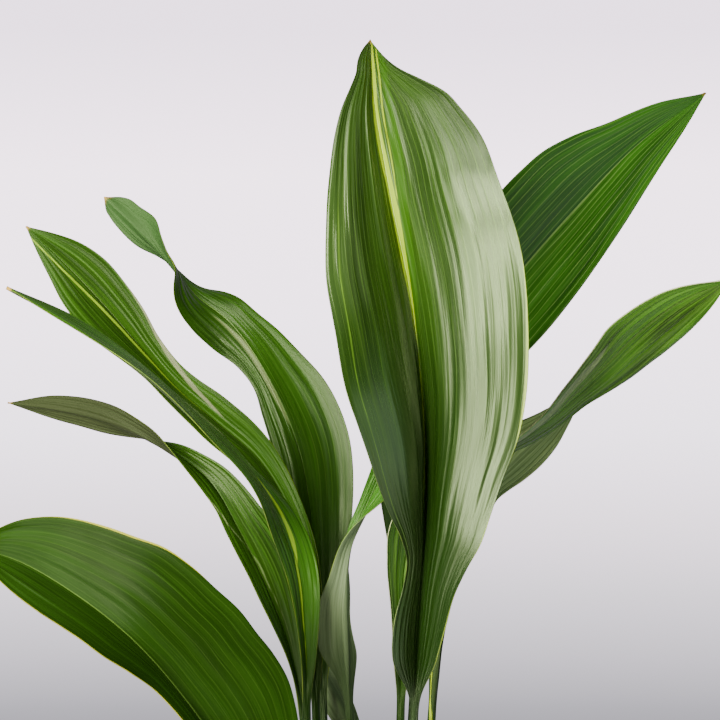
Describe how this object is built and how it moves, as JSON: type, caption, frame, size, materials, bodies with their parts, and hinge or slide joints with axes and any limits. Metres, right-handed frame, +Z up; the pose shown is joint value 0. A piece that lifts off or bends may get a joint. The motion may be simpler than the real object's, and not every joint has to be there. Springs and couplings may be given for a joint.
{
  "type": "potted cast iron plant",
  "caption": "Cast iron plant (aspidistra) in a plain round pot: long strap-like glossy leaves, some twisted, arching from upright petioles.",
  "frame": {"origin": "centre of the pot's flat underside", "axes": "+Z up along the pot's axis; -Y towards the viewer of the plant's front leaf"},
  "size_m": [0.4845, 0.396, 0.8093],
  "materials": {
    "leaf": "waxy semi-gloss living leaf, dark green with parallel veins and yellow-green stripes",
    "soil": "damp dark potting mix with bark crumbs",
    "pot": "matt pale stoneware"
  },
  "bodies": {
    "root": {"pot": "pot", "soil": "soil", "leaf_front": "leaf", "leaf_right_high": "leaf", "leaf_right_low": "leaf", "leaf_right_folded": "leaf", "leaf_left_high": "leaf", "leaf_left_edge_on": "leaf", "leaf_left_back": "leaf", "leaf_left_mid": "leaf", "leaf_left_low": "leaf", "leaf_inner_small": "leaf", "leaf_back_tall": "leaf", "leaf_low_right": "leaf", "leaf_low_back": "leaf"}
  },
  "joints": []
}
